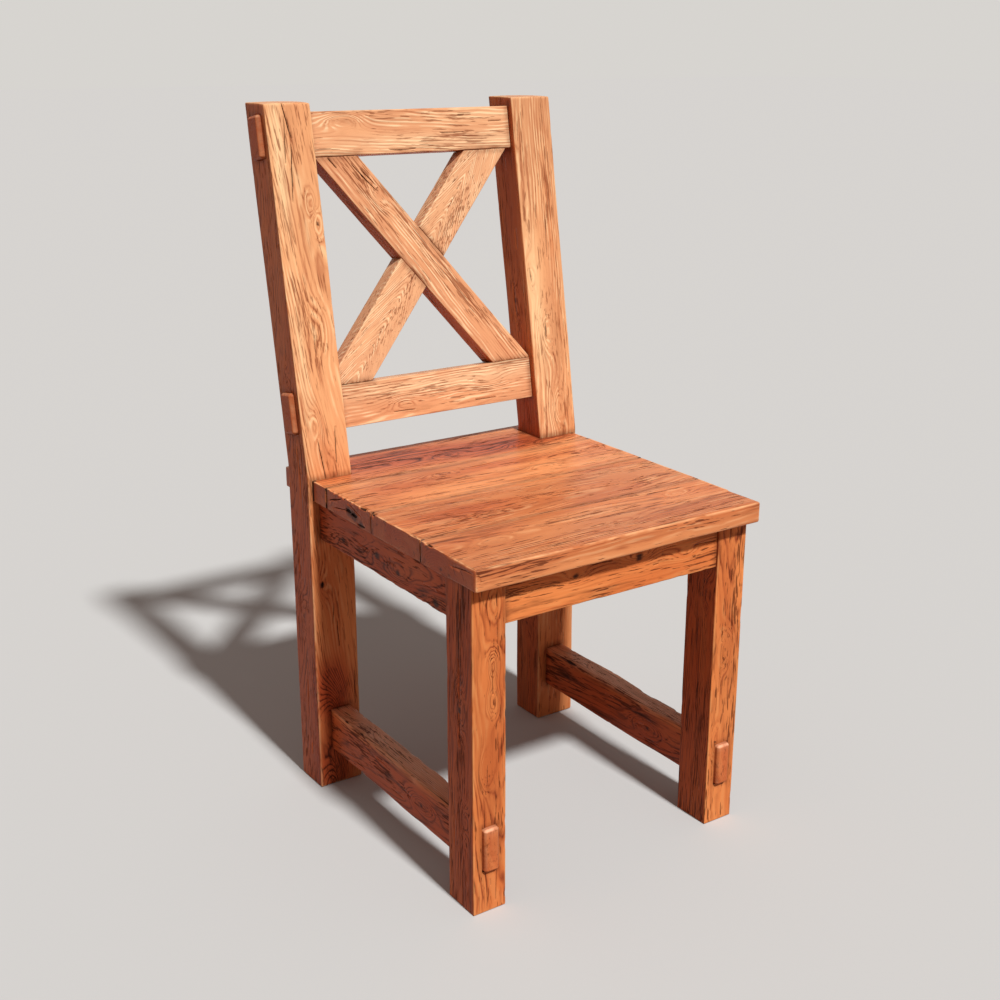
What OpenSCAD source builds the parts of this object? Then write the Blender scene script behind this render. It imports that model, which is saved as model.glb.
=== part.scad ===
// Rustic wooden chair with a crossed back and a seat of four planks.
// Millimetres. +X is the sitter's left to right as seen from the front, +Y is to the back,
// +Z is up. The origin is on the floor, in the middle of the whole chair's footprint.

/* [Overall] */
// Width over the outer faces of the rear posts
chair_w = 437; // [360:1:530]
// Height of the tops of the rear posts
chair_h = 921; // [760:1:1110]
// Depth from the front legs' front faces to the rear posts' back faces
frame_d = 431; // [355:1:520]
// Height of the seat's top face
seat_h = 450; // [370:1:545]

/* [Rear posts] */
// Width of a rear post
post_w = 65; // [54:0.5:80]
// Depth of a rear post, square to its faces
post_d = 58; // [54:0.5:72]
// Angle by which the back leans from upright
back_rake = 9.4; // [4:0.1:14]
// Height of the post's bend above the seat's top face
bend_rise = 5; // [2:1:30]

/* [Front legs] */
// Width of a front leg
leg_w = 47; // [44:0.5:60]
// Depth of a front leg
leg_d = 56; // [46:0.5:70]
// How far a front leg's outer face lies inside the rear post's
leg_inset = 11.5; // [8:0.5:18]

/* [Seat] */
// Thickness of the seat boards
seat_t = 28; // [22:0.5:34]
// How far the seat's ends pass the front legs' outer faces
seat_overhang = 5.5; // [0:0.5:7]
// How far the seat passes the front legs' front faces
seat_nose = 17.5; // [5:0.5:35]
// How far the seat passes the rear posts' back faces
seat_tail = 21.5; // [8:0.5:35]
// Gap between neighbouring boards
board_gap = 0.2; // [0.1:0.1:3]
// Gap round the posts in the rear board's notches
notch_gap = 0.5; // [0.2:0.1:3]

/* [Aprons] */
// Height of the aprons
apron_h = 55; // [46:0.5:80]
// Thickness of the aprons
apron_t = 26; // [20:0.5:28]
// How far an apron's outer face lies inside the leg's
apron_inset = 3; // [0:0.5:6]
// Thickness of the aprons' hidden tenons
apron_tenon_t = 12; // [8:0.5:14]
// Length of the front and rear aprons' tenons
cross_tenon_l = 20; // [12:1:24]
// Length of the side aprons' tenons
side_tenon_l = 28; // [15:1:32]
// Step from an apron's top and bottom edges to its tenons
apron_shoulder = 8; // [4:0.5:12]

/* [Stretchers] */
// Height of the stretchers
stretcher_h = 62; // [50:0.5:76]
// Thickness of the stretchers
stretcher_t = 32; // [27:0.5:40]
// Height of the stretchers' lower edges above the floor
stretcher_rise = 55; // [30:1:110]
// Thickness of the stretchers' tenons
stretcher_tenon_t = 21.5; // [16:0.5:25]
// Length of the stretchers' hidden rear tenons
stretcher_stub_l = 34; // [20:1:44]

/* [Back] */
// Height of the back rails, along the slope
rail_h = 57.5; // [46:0.5:72]
// Thickness of the back rails
rail_t = 32; // [26:0.5:38]
// How far the rails lie behind the posts' front faces
rail_setback = 11; // [6:0.5:14]
// Slope distance from the posts' front top edges down to the top rail
top_rail_drop = 10; // [4:0.5:30]
// Slope distance from the posts' bend up to the lower rail
low_rail_rise = 54.5; // [30:0.5:90]
// Step all round from a rail or stretcher to its through tenon
through_shoulder = 1.5; // [1:0.5:4]
// How far the through tenons stand out of the wood
tenon_proud = 6; // [3:0.5:10]
// Chamfer round the through tenons' ends
tenon_chamfer = 2; // [0.5:0.5:2.5]

/* [Crossed braces] */
// Width of the brace that runs through
full_brace_w = 50; // [40:0.5:60]
// Width of the brace that is lapped behind it
lapped_brace_w = 53.5; // [42:0.5:64]
// Thickness of both braces
brace_t = 29; // [22:0.5:32]
// How far the braces lie behind the posts' front faces
brace_setback = 12.5; // [8:0.5:16]
// From the left post to the through brace's centre line, at the top rail
full_top_in = 35; // [25:0.5:60]
// From the right post to the through brace's centre line, at the lower rail
full_foot_in = 29; // [20:0.5:60]
// From the right post to the lapped brace's centre line, at the top rail
lapped_top_in = 41.5; // [25:0.5:60]
// From the left post to the lapped brace's centre line, at the lower rail
lapped_foot_in = 18; // [14:0.5:60]
// Thickness of the braces' hidden tenons
brace_tenon_t = 10; // [8:0.5:12]
// Length of the braces' hidden tenons, into the rails
brace_tenon_l = 12; // [8:0.5:18]
// Step from each side of a brace to its tenon
brace_shoulder = 9; // [5:0.5:14]

/* [Cleats and screws] */
// Side of the cleats' square section
cleat_s = 20; // [16:0.5:26]
// Gap between a cleat's end and the leg or post
cleat_end_gap = 2; // [1:0.5:6]
// Radius of a screw's shank
screw_r = 1.75; // [1.5:0.05:2.25]
// Radius of a screw's countersunk head
screw_head_r = 3.5; // [3:0.1:4.5]
// Depth of the screws' heads
screw_head_h = 2.2; // [1.8:0.1:3]
// Length of a screw's pointed tip
screw_tip_l = 4; // [3:0.5:6]
// How deep the screws reach past the cleat
screw_bite = 15; // [10:0.5:18]
// Width of the slot in a screw's head
slot_w = 1; // [0.8:0.1:1.4]
// Depth of the slot in a screw's head
slot_d = 1.2; // [0.8:0.1:1.4]

/* [Fits] */
// Gap on each side of a tenon in its mortise, and between the halves of the lap
tenon_fit = 0.2; // [0.1:0.05:0.5]
// Gap past the end of a hidden tenon
mortise_spare = 1; // [0.5:0.5:3]
// Gap round a screw in the wood
screw_fit = 0.1; // [0.05:0.05:0.2]

/* [Hidden] */

// Colours of the wood, and of the screws
wood_light = [0.86, 0.52, 0.33];
wood_mid = [0.78, 0.44, 0.27];
wood_red = [0.70, 0.36, 0.22];
wood_seat = [0.80, 0.46, 0.31];
steel = [0.55, 0.55, 0.56];

// Cutting bodies pass this far beyond the faces that they open
over = 10;
round_faces = 48;

// Side to side
post_out_x = chair_w / 2;
post_in_x = post_out_x - post_w;
leg_out_x = post_out_x - leg_inset;
leg_in_x = leg_out_x - leg_w;
leg_mid_x = (leg_out_x + leg_in_x) / 2;
seat_half_w = leg_out_x + seat_overhang;
side_apron_out_x = leg_out_x - apron_inset;
side_apron_in_x = side_apron_out_x - apron_t;
cleat_in_x = side_apron_in_x - cleat_s;

// Heights
seat_under_z = seat_h - seat_t;
apron_low_z = seat_under_z - apron_h;
bend_z = seat_h + bend_rise;

// The back's slope: the post keeps its depth, so its two faces bend at different heights
back_bend_z = bend_z + post_d * tan(back_rake / 2);
slope_l = (chair_h - bend_z) / cos(back_rake);
post_top_front = (chair_h - bend_z) * tan(back_rake);
post_top_back = (chair_h - back_bend_z) * tan(back_rake);

// Front to back, with the whole chair centred on the origin
total_d = seat_nose + frame_d + max(seat_tail, post_top_back);
seat_front_y = -total_d / 2;
leg_front_y = seat_front_y + seat_nose;
leg_back_y = leg_front_y + leg_d;
post_back_y = leg_front_y + frame_d;
post_front_y = post_back_y - post_d;
seat_back_y = post_back_y + seat_tail;

// Seat boards, all of one width
board_count = 4;
board_pitch = (seat_back_y - seat_front_y) / board_count;

// Slope distances of the back rails and of the opening that the braces cross
low_rail_top = low_rail_rise + rail_h;
top_rail_low = slope_l - top_rail_drop - rail_h;

// Ends of the braces' centre lines, in the plane of the back
full_top = [-(post_in_x - full_top_in), top_rail_low];
full_foot = [post_in_x - full_foot_in, low_rail_top];
lapped_top = [post_in_x - lapped_top_in, top_rail_low];
lapped_foot = [-(post_in_x - lapped_foot_in), low_rail_top];

// Cleats, and the screws along them: one for each board, and three into each apron
cleat_front_y = leg_back_y + cleat_end_gap;
cleat_back_y = post_front_y - cleat_end_gap;
function board_y(i) = seat_front_y + i * board_pitch;
seat_screw_y = [for (i = [0 : board_count - 1])
    (max(board_y(i), cleat_front_y) + min(board_y(i + 1), cleat_back_y)) / 2];
cleat_screw_count = 3;
cleat_screw_y = [for (i = [0 : cleat_screw_count - 1])
    (seat_screw_y[i] + seat_screw_y[i + 1]) / 2];
screw_l = cleat_s + screw_bite;

// ---- Shared shapes ----

// A block between two opposite corners
module block(low, high) {
    translate(low) cube(high - low);
}

// Its children, and their mirror image to the other side
module both_sides() {
    children();
    mirror([1, 0, 0]) children();
}

// Places children in the plane of the leaning back: x across, y behind the posts'
// front faces, z up the slope from the bend
module on_back() {
    translate([0, post_front_y, bend_z]) rotate([-back_rake, 0, 0]) children();
}

// A tenon along +Y from the origin, w wide, h high, with its far end chamfered
module chamfered_tenon(w, h, l) {
    c = tenon_chamfer;
    intersection() {
        translate([0, 0, -h / 2]) linear_extrude(h)
            polygon([[-w / 2, 0], [w / 2, 0], [w / 2, l - c], [w / 2 - c, l],
                     [c - w / 2, l], [-w / 2, l - c]]);
        rotate([90, 0, 90]) translate([0, 0, -w / 2]) linear_extrude(w)
            polygon([[0, -h / 2], [l - c, -h / 2], [l, c - h / 2],
                     [l, h / 2 - c], [l - c, h / 2], [0, h / 2]]);
    }
}

// ---- Tenons, each drawn once for its rail, and with a gap for its mortise ----

// Through tenon of a back rail, out of the right-hand post
module rail_tenon(z_low, fit = 0) {
    w = rail_t - 2 * through_shoulder;
    h = rail_h - 2 * through_shoulder;
    on_back() translate([post_in_x, rail_setback + rail_t / 2, z_low + rail_h / 2])
        if (fit == 0)
            rotate([0, 0, -90]) chamfered_tenon(w, h, post_w + tenon_proud);
        else
            block([-over, -w / 2 - fit, -h / 2 - fit],
                  [post_w + over, w / 2 + fit, h / 2 + fit]);
}

// Through tenon of the right-hand stretcher, out of the front leg's front face
module stretcher_front_tenon(fit = 0) {
    w = stretcher_tenon_t;
    h = stretcher_h - 2 * through_shoulder;
    translate([leg_mid_x, leg_back_y, stretcher_rise + stretcher_h / 2])
        if (fit == 0)
            rotate([0, 0, 180]) chamfered_tenon(w, h, leg_d + tenon_proud);
        else
            block([-w / 2 - fit, -leg_d - over, -h / 2 - fit], [w / 2 + fit, over, h / 2 + fit]);
}

// Hidden tenon of the right-hand stretcher, in the rear post's front face
module stretcher_rear_tenon(fit = 0, spare = 0) {
    block([leg_mid_x - stretcher_tenon_t / 2 - fit, post_front_y - spare,
           stretcher_rise + through_shoulder - fit],
          [leg_mid_x + stretcher_tenon_t / 2 + fit, post_front_y + stretcher_stub_l + spare,
           stretcher_rise + stretcher_h - through_shoulder + fit]);
}

// Right-hand tenon of a cross apron whose front face is at y and whose shoulder is at x
module cross_tenon(x, y, fit = 0, spare = 0) {
    mid_y = y + apron_t / 2;
    block([x - spare, mid_y - apron_tenon_t / 2 - fit, apron_low_z + apron_shoulder - fit],
          [x + cross_tenon_l + spare, mid_y + apron_tenon_t / 2 + fit,
           seat_under_z - apron_shoulder + fit]);
}

// The right-hand side apron's two tenons
module side_tenons(fit = 0, spare = 0) {
    mid_x = (side_apron_out_x + side_apron_in_x) / 2;
    for (span = [[leg_back_y - side_tenon_l - spare, leg_back_y + spare],
                 [post_front_y - spare, post_front_y + side_tenon_l + spare]])
        block([mid_x - apron_tenon_t / 2 - fit, span[0], apron_low_z + apron_shoulder - fit],
              [mid_x + apron_tenon_t / 2 + fit, span[1], seat_under_z - apron_shoulder + fit]);
}

front_apron_y = leg_front_y + apron_inset;
rear_apron_y = post_back_y - apron_inset - apron_t;

// ---- Crossed braces, drawn in the plane of the back ----

// A long bar of width w along the line from the foot to the top
module bar_outline(foot, top, w) {
    run = top - foot;
    translate(foot) rotate(atan2(run[1], run[0]))
        translate([-slope_l, -w / 2]) square([2 * slope_l + norm(run), w]);
}

// The part of a bar between the posts, from slope height low to high
module bar_between(foot, top, w, low, high, side_gap = 0) {
    intersection() {
        bar_outline(foot, top, w);
        translate([side_gap - post_in_x, low]) square([2 * (post_in_x - side_gap), high - low]);
    }
}

// Stands an outline up in the plane of the back, from depth y0 to y1
module upright(y0, y1) {
    on_back() translate([0, y1, 0]) rotate([90, 0, 0]) linear_extrude(y1 - y0) children();
}

// Both hidden tenons of a brace
module brace_tenons(foot, top, w, fit = 0, spare = 0) {
    mid_y = brace_setback + brace_t / 2;
    tenon_w = w - 2 * brace_shoulder + 2 * fit;
    side_gap = brace_shoulder / 2 - fit;
    upright(mid_y - brace_tenon_t / 2 - fit, mid_y + brace_tenon_t / 2 + fit) {
        bar_between(foot, top, tenon_w, top_rail_low - spare,
                    top_rail_low + brace_tenon_l + spare, side_gap);
        bar_between(foot, top, tenon_w, low_rail_top - brace_tenon_l - spare,
                    low_rail_top + spare, side_gap);
    }
}

// The whole body of a brace, with its tenons
module brace(foot, top, w) {
    upright(brace_setback, brace_setback + brace_t)
        bar_between(foot, top, w, low_rail_top, top_rail_low);
    brace_tenons(foot, top, w);
}

module brace_mortises() {
    brace_tenons(full_foot, full_top, full_brace_w, tenon_fit, mortise_spare);
    brace_tenons(lapped_foot, lapped_top, lapped_brace_w, tenon_fit, mortise_spare);
}

// ---- Screws ----

// A countersunk screw that points along +Z, its head flush with z = 0
module screw(fit = 0) {
    r = screw_r + fit;
    head_r = screw_head_r + fit;
    rotate_extrude($fn = round_faces)
        polygon([[0, 0], [head_r, 0], [r, screw_head_h + fit],
                 [r, screw_l - screw_tip_l], [0, screw_l + fit]]);
}

module slotted_screw() {
    difference() {
        screw();
        block([-screw_head_r - over, -slot_w / 2, -over],
              [screw_head_r + over, slot_w / 2, slot_d]);
    }
}

// Places children at each screw that holds the boards down, on the right-hand cleat
module at_seat_screws() {
    for (y = seat_screw_y)
        translate([cleat_in_x + cleat_s / 2, y, seat_under_z - cleat_s]) children();
}

// Places children at each screw that holds the right-hand cleat to its apron
module at_cleat_screws() {
    for (y = cleat_screw_y)
        translate([cleat_in_x, y, seat_under_z - cleat_s / 2]) rotate([0, 90, 0]) children();
}

// ---- Pieces ----

// Right-hand rear post: the outline of its side, bent once, with its mortises
module rear_post() {
    difference() {
        translate([post_in_x, 0, 0]) rotate([90, 0, 90]) linear_extrude(post_w)
            polygon([[post_front_y, 0], [post_back_y, 0], [post_back_y, back_bend_z],
                     [post_back_y + post_top_back, chair_h],
                     [post_front_y + post_top_front, chair_h], [post_front_y, bend_z]]);
        rail_tenon(low_rail_rise, tenon_fit);
        rail_tenon(top_rail_low, tenon_fit);
        stretcher_rear_tenon(tenon_fit, mortise_spare);
        side_tenons(tenon_fit, mortise_spare);
        cross_tenon(post_in_x, rear_apron_y, tenon_fit, mortise_spare);
    }
}

module rear_post_right() {
    color(wood_light) rear_post();
}

module rear_post_left() {
    color(wood_light) mirror([1, 0, 0]) rear_post();
}

// Right-hand front leg, with its mortises
module front_leg() {
    difference() {
        block([leg_in_x, leg_front_y, 0], [leg_out_x, leg_back_y, seat_under_z]);
        stretcher_front_tenon(tenon_fit);
        side_tenons(tenon_fit, mortise_spare);
        cross_tenon(leg_in_x, front_apron_y, tenon_fit, mortise_spare);
    }
}

module front_leg_right() {
    color(wood_mid) front_leg();
}

module front_leg_left() {
    color(wood_mid) mirror([1, 0, 0]) front_leg();
}

// A back rail whose lower edge is at slope height z_low
module back_rail(z_low) {
    difference() {
        union() {
            on_back() block([-post_in_x, rail_setback, z_low],
                            [post_in_x, rail_setback + rail_t, z_low + rail_h]);
            both_sides() rail_tenon(z_low);
        }
        brace_mortises();
    }
}

module top_rail() {
    color(wood_light) back_rail(top_rail_low);
}

module lower_back_rail() {
    color(wood_light) back_rail(low_rail_rise);
}

// The through brace gives up its rear half at the crossing
module back_brace_full() {
    mid_y = brace_setback + brace_t / 2;
    color(wood_light) difference() {
        brace(full_foot, full_top, full_brace_w);
        upright(mid_y, brace_setback + brace_t + over)
            bar_outline(lapped_foot, lapped_top, lapped_brace_w + 2 * tenon_fit);
    }
}

// The lapped brace gives up its front half there
module back_brace_lapped() {
    mid_y = brace_setback + brace_t / 2;
    color(wood_mid) difference() {
        brace(lapped_foot, lapped_top, lapped_brace_w);
        upright(brace_setback - over, mid_y + tenon_fit)
            bar_outline(full_foot, full_top, full_brace_w + 2 * tenon_fit);
    }
}

// Seat board number i, counted from the front
module seat_board(i) {
    front_gap = i == 0 ? 0 : board_gap / 2;
    back_gap = i == board_count - 1 ? 0 : board_gap / 2;
    difference() {
        block([-seat_half_w, board_y(i) + front_gap, seat_under_z],
              [seat_half_w, board_y(i + 1) - back_gap, seat_h]);
        both_sides() block([post_in_x - notch_gap, post_front_y - notch_gap, seat_under_z - over],
                           [post_out_x + over, post_back_y + notch_gap, seat_h + over]);
        both_sides() at_seat_screws() screw(screw_fit);
    }
}

module seat_board_front() {
    color(wood_seat) seat_board(0);
}

module seat_board_second() {
    color(wood_seat) seat_board(1);
}

module seat_board_third() {
    color(wood_seat) seat_board(2);
}

module seat_board_rear() {
    color(wood_seat) seat_board(3);
}

// A cross apron from shoulder to shoulder, with its front face at y
module cross_apron(x, y) {
    block([-x, y, apron_low_z], [x, y + apron_t, seat_under_z]);
    both_sides() cross_tenon(x, y);
}

module front_apron() {
    color(wood_mid) cross_apron(leg_in_x, front_apron_y);
}

module rear_apron() {
    color(wood_mid) cross_apron(post_in_x, rear_apron_y);
}

module side_apron() {
    difference() {
        union() {
            block([side_apron_in_x, leg_back_y, apron_low_z],
                  [side_apron_out_x, post_front_y, seat_under_z]);
            side_tenons();
        }
        at_cleat_screws() screw(screw_fit);
    }
}

module side_apron_right() {
    color(wood_red) side_apron();
}

module side_apron_left() {
    color(wood_red) mirror([1, 0, 0]) side_apron();
}

module stretcher() {
    block([leg_mid_x - stretcher_t / 2, leg_back_y, stretcher_rise],
          [leg_mid_x + stretcher_t / 2, post_front_y, stretcher_rise + stretcher_h]);
    stretcher_front_tenon();
    stretcher_rear_tenon();
}

module stretcher_right() {
    color(wood_red) stretcher();
}

module stretcher_left() {
    color(wood_red) mirror([1, 0, 0]) stretcher();
}

module seat_cleat() {
    difference() {
        block([cleat_in_x, cleat_front_y, seat_under_z - cleat_s],
              [side_apron_in_x, cleat_back_y, seat_under_z]);
        at_seat_screws() screw(screw_fit);
        at_cleat_screws() screw(screw_fit);
    }
}

module seat_cleat_right() {
    color(wood_mid) seat_cleat();
}

module seat_cleat_left() {
    color(wood_mid) mirror([1, 0, 0]) seat_cleat();
}

module seat_screws() {
    color(steel) both_sides() at_seat_screws() slotted_screw();
}

module cleat_screws() {
    color(steel) both_sides() at_cleat_screws() slotted_screw();
}

rear_post_left();
rear_post_right();
front_leg_left();
front_leg_right();
top_rail();
lower_back_rail();
back_brace_full();
back_brace_lapped();
seat_board_front();
seat_board_second();
seat_board_third();
seat_board_rear();
front_apron();
rear_apron();
side_apron_left();
side_apron_right();
stretcher_left();
stretcher_right();
seat_cleat_left();
seat_cleat_right();
seat_screws();
cleat_screws();
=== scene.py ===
import math

import bmesh
import bpy
import numpy as np
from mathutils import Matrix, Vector
from mathutils.bvhtree import BVHTree


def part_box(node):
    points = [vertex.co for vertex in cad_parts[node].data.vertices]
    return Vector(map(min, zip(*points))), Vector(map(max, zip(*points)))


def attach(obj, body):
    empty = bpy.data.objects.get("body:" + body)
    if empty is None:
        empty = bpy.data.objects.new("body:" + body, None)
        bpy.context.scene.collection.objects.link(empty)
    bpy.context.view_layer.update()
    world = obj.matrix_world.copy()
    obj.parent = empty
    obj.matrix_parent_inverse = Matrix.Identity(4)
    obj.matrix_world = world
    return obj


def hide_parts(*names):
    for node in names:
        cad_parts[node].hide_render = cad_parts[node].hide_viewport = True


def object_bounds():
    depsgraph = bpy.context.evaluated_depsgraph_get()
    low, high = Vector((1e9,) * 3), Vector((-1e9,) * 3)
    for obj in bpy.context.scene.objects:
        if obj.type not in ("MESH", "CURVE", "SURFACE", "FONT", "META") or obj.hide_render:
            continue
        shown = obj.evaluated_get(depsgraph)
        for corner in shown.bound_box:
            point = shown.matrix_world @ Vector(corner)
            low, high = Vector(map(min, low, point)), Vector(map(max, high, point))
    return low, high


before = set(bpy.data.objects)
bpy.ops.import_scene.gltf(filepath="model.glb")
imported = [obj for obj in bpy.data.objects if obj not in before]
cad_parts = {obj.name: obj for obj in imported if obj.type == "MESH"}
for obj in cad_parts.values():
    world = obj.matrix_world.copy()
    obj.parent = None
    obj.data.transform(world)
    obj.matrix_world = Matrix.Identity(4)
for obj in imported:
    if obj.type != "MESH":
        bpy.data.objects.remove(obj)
cad_low, cad_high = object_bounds()

MM = 0.001
GRID_ALONG, GRID_ACROSS = 3.0 * MM, 4.8 * MM  # how far apart a worn face's points are
CRUMB_VERTICES = 60  # an island with fewer corners than this is a crumb that cutting left
SHARP_DEGREES = 38  # edges sharper than this stay crisp
THROUGH_STEP = 1.6 * MM  # a through tenon's faces lie this far inside its rail's
TENON_SIDE = 5.35 * MM  # but a stretcher's tenon is this much narrower on its left and right
TENON_ROOT = 4 * MM  # a tenon's block starts this far inside its rail, past the post or leg
BODY_END = 2 * MM  # a rail's worn body stops this far short of the post's or leg's outer face
LUMP_BUMPS = 0.35  # how uneven a hollow is, as a share of its size
SHORTEST_CHECK, LONGEST_CHECK = 9, 45  # mm, for the small checks scattered over the faces
X, Y, Z = Vector((1, 0, 0)), Vector((0, 1, 0)), Vector((0, 0, 1))


# ---- Noise for worn shapes ----

def hashed(ix, iy, iz, seed):
    """A repeatable number from 0 to 1 for each lattice point."""
    h = (ix * 3747613 + iy * 6682659 + iz * 1274125 + seed * 974635) & 0x7FFFFFFF
    h = ((h ^ (h >> 13)) * 1103515) & 0x7FFFFFFF
    h = ((h ^ (h >> 16)) * 2246827) & 0x7FFFFFFF
    return (h ^ (h >> 15)) / 0x7FFFFFFF


def noise(points, seed):
    """Smooth value noise from -1 to 1, one value for each row of points."""
    points = np.asarray(points, float)
    cell = np.floor(points).astype(np.int64)
    f = points - cell
    f = f * f * (3 - 2 * f)
    total = np.zeros(len(points))
    for corner in range(8):
        step = [(corner >> axis) & 1 for axis in range(3)]
        weight = np.ones(len(points))
        for axis in range(3):
            weight = weight * (f[:, axis] if step[axis] else 1 - f[:, axis])
        total += weight * hashed(*(cell[:, axis] + step[axis] for axis in range(3)), seed)
    return 2 * total - 1


# ---- What the CAD pieces measure ----

def cad_mesh(node):
    """A copy of a CAD node's mesh with its corners joined, as a closed bmesh."""
    bm = bmesh.new()
    bm.from_mesh(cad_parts[node].data)
    bmesh.ops.remove_doubles(bm, verts=bm.verts, dist=1e-6)
    return bm


def vertex_values(mesh, field):
    """A mesh's vertex places ("co") or directions ("normal"), one row each."""
    values = np.empty(len(mesh.vertices) * 3)
    mesh.vertices.foreach_get(field, values)
    return values.reshape(-1, 3)


def cad_points(node):
    return vertex_values(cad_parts[node].data, "co")


class Axes:
    """A timber's own directions: u along the grain, v and w across it, from an origin."""

    def __init__(self, u, v, w, origin=(0, 0, 0)):
        self.turn = np.array([u, v, w], float)
        self.origin = np.array(origin, float)

    def local(self, points):
        return (np.asarray(points, float) - self.origin) @ self.turn.T

    def world(self, points):
        return np.asarray(points, float) @ self.turn + self.origin


class PostAxes(Axes):
    """The axes of a bent rear post: w is measured from its front face, at any height."""

    def __init__(self, node):
        super().__init__(Z, X, Y)
        points = cad_points(node)
        front, low_back = points[:, 1].min(), points[points[:, 2] < MM, 1].max()
        top = points[:, 2].max()
        on_front = points[np.abs(points[:, 1] - front) < 0.01 * MM]
        on_back = points[np.abs(points[:, 1] - low_back) < 0.01 * MM]
        head = points[points[:, 2] > top - 0.01 * MM, 1]
        self.front = ([0, on_front[:, 2].max(), top], [front, front, head.min()])
        self.back = ([0, on_back[:, 2].max(), top], [low_back, low_back, head.max()])
        self.depth = low_back - front

    def local(self, points):
        q = super().local(points)
        near, far = np.interp(q[:, 0], *self.front), np.interp(q[:, 0], *self.back)
        q[:, 2] = (q[:, 2] - near) / (far - near) * self.depth
        return q

    def world(self, points):
        q = np.array(points, float)
        near, far = np.interp(q[:, 0], *self.front), np.interp(q[:, 0], *self.back)
        q[:, 2] = near + q[:, 2] / self.depth * (far - near)
        return super().world(q)


def back_axes(across, up):
    """Axes in the plane of the leaning back, for a piece whose grain runs that way in it."""
    heights, depths = PostAxes("rear_post_right").front
    rise = Vector((0, depths[2] - depths[1], heights[2] - heights[1])).normalized()
    behind = rise.cross(X)
    along = X * across + rise * up
    return Axes(along, along.cross(behind), behind, (0, depths[1], heights[1]))


def brace_axes(node):
    """Axes along a brace, found from its longest straight edge."""
    bm = cad_mesh(node)
    bmesh.ops.dissolve_limit(bm, angle_limit=0.01, verts=bm.verts, edges=bm.edges)
    edge = max(bm.edges, key=lambda e: e.calc_length())
    ends = back_axes(1, 0).local([v.co for v in edge.verts])
    bm.free()
    run = (ends[1] - ends[0])[:2]
    run *= np.sign(run[1]) / np.linalg.norm(run)
    return back_axes(*run)


# ---- Worn timber ----

def stops(low, high, step, near_ends):
    """Places from low to high, about a step apart, with extra ones near both ends."""
    inner = near_ends[-1] if near_ends else 0
    count = max(1, round((high - low - 2 * inner) / step))
    middle = np.linspace(low + inner, high - inner, count + 1)
    head = [low + d for d in near_ends[:-1]]
    tail = [high - d for d in reversed(near_ends[:-1])]
    return np.concatenate([head, middle, tail])


def shell(us, vs, ws):
    """Points and faces of a closed box whose sides are gridded at the given places."""
    n = (len(us), len(vs), len(ws))
    grid = np.indices(n).reshape(3, -1).T
    skin = ((grid == 0) | (grid == np.array(n) - 1)).any(axis=1)
    index = np.full(n, -1)
    on = grid[skin]
    index[tuple(on.T)] = np.arange(len(on))
    points = np.stack([us[on[:, 0]], vs[on[:, 1]], ws[on[:, 2]]], axis=1)
    faces = []
    for axis in range(3):
        for end in (0, -1):
            side = index.take(end, axis=axis)
            quads = np.stack([side[:-1, :-1], side[1:, :-1], side[1:, 1:], side[:-1, 1:]], axis=-1)
            quads = quads.reshape(-1, 4)
            outward = (end == -1) ^ (axis == 1)
            faces.append(quads if outward else quads[:, ::-1])
    return points, np.concatenate(faces)


def worn_block(low, high, seed, round_mm=1.3, ends=True, wear=1.0, crown_mm=0.0, bevel=False,
               sides=(1.0, 1.0)):
    """A sawn block with eased, uneven arrises and slightly wandering faces, in local axes."""
    low, high = np.array(low, float), np.array(high, float)
    r0 = round_mm * MM
    near = [0, 0.5 * r0, r0, 1.2 * r0, 2.6 * r0] if bevel else [0, 0.3 * r0, 0.9 * r0, 2.2 * r0]
    us = stops(low[0], high[0], GRID_ALONG, near if ends else [])
    vs = stops(low[1], high[1], GRID_ACROSS, near)
    ws = stops(low[2], high[2], GRID_ACROSS, near)
    points, faces = shell(us, vs, ws)
    # The radius wanders, and here and there an arris took a knock
    slow = noise(points * (14, 9, 9), seed)
    knock = np.maximum(0, noise(points * (70, 25, 25), seed + 1) - 0.45) * wear
    r = r0 * (1 + 0.45 * wear * slow) + 3.2 * MM * knock
    r = r * np.where(points[:, 1] < (low[1] + high[1]) / 2, *sides)
    limit = 0.45 * (high[1:] - low[1:]).min()
    r = np.minimum(r, limit)[:, None]
    reach = np.array([1, 1, 1]) if ends else np.array([0, 1, 1])
    inner = np.clip(points, low + r * reach, high - r * reach)
    away = points - inner
    power = 1.08 if bevel else 2.0
    size = (np.abs(away) ** power).sum(axis=1, keepdims=True) ** (1 / power)
    points = np.where(size > 1e-9, inner + away / np.maximum(size, 1e-9) * r, points)
    out = (points - (low + high) / 2) / ((high - low) / 2)
    dip_faces(points, out, sides, wear, seed)
    if ends:
        crown = crown_mm * MM * (out[:, 1] ** 2 + out[:, 2] ** 2) / 2
        points[:, 0] -= (points[:, 0] > high[0] - 3 * r0) * crown
        points[:, 0] -= np.sign(out[:, 0]) * 0.02 * MM
    return points, faces


def dip_faces(points, out, sides, wear, seed):
    """Makes the long faces dip a little, each in its own way, never past the sawn size. Each
    point's place is in out too, from -1 at one side of the block to 1 at the other."""
    for axis in (1, 2):
        side = np.sign(out[:, axis])
        other = points[:, 3 - axis]
        q = np.stack([points[:, 0] * 11, other * 16, side * 7 + axis], axis=1)
        q_fine = np.stack([points[:, 0] * 45, other * 60, side * 5 + axis], axis=1)
        hollow = 0.3 * (1 + noise(q, seed + 2)) + 0.07 * (1 + noise(q_fine, seed + 3))
        dip = (0.1 + wear * hollow) * MM
        if axis == 1:
            dip = dip * np.where(side < 0, *np.minimum(sides, 1.0))
        points[:, axis] -= out[:, axis] * dip


def new_object(name, data):
    made = bpy.data.objects.new(name, data)
    bpy.context.scene.collection.objects.link(made)
    return made


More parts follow.
